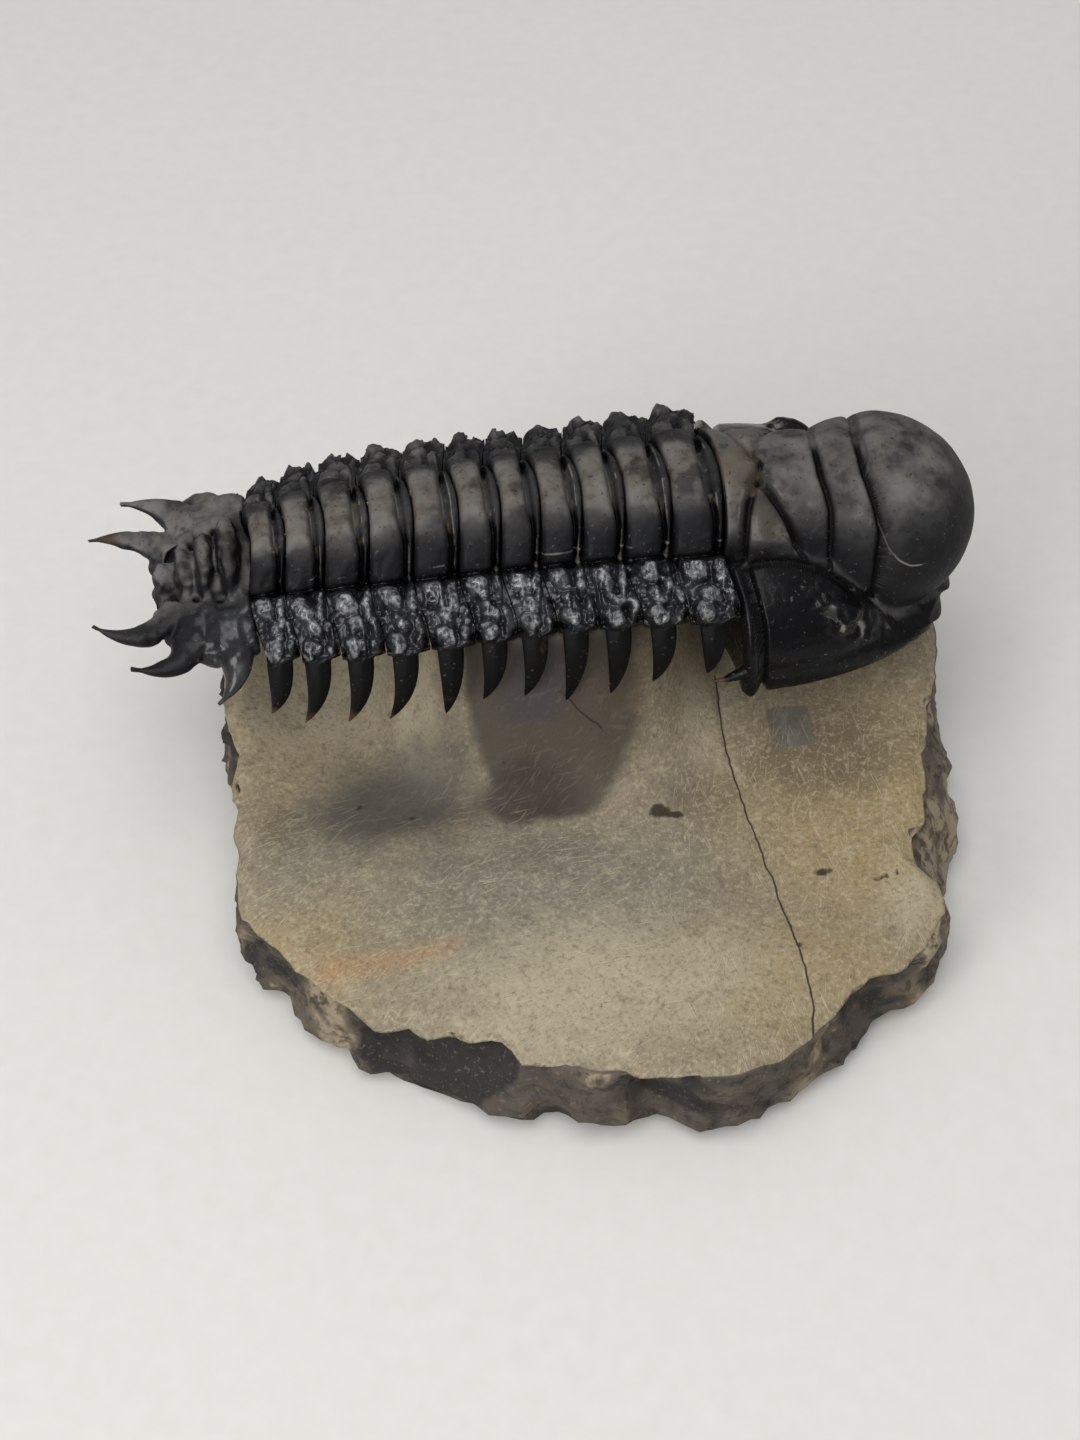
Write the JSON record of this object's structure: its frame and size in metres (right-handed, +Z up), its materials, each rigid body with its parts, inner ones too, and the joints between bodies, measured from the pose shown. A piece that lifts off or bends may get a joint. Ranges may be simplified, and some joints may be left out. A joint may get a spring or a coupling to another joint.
{
  "type": "fossil trilobite",
  "caption": "Spiny trilobite fossil with a bulbous head and hanging side spines, prepared free on a pedestal carved from its own limestone block; stands on the block's flat base.",
  "frame": {"origin": "under the middle of the bounding box, on the flat resting face of the limestone block", "axes": "+X along the animal towards its head, +Y to the animal's left and the back of the block, +Z up"},
  "size_m": [0.0799, 0.0672, 0.0361],
  "materials": {
    "shell": "satin black calcite, dusty on top and glossy on the flanks",
    "limestone": "matte, tool-scratched on top and broken round the rim"
  },
  "bodies": {
    "root": {"cephalon": "shell", "thoracic_segment_01": "shell", "thoracic_segment_02": "shell", "thoracic_segment_03": "shell", "thoracic_segment_04": "shell", "thoracic_segment_05": "shell", "thoracic_segment_06": "shell", "thoracic_segment_07": "shell", "thoracic_segment_08": "shell", "thoracic_segment_09": "shell", "thoracic_segment_10": "shell", "thoracic_segment_11": "shell", "pygidium": "shell", "limestone_matrix": "limestone"}
  },
  "joints": []
}
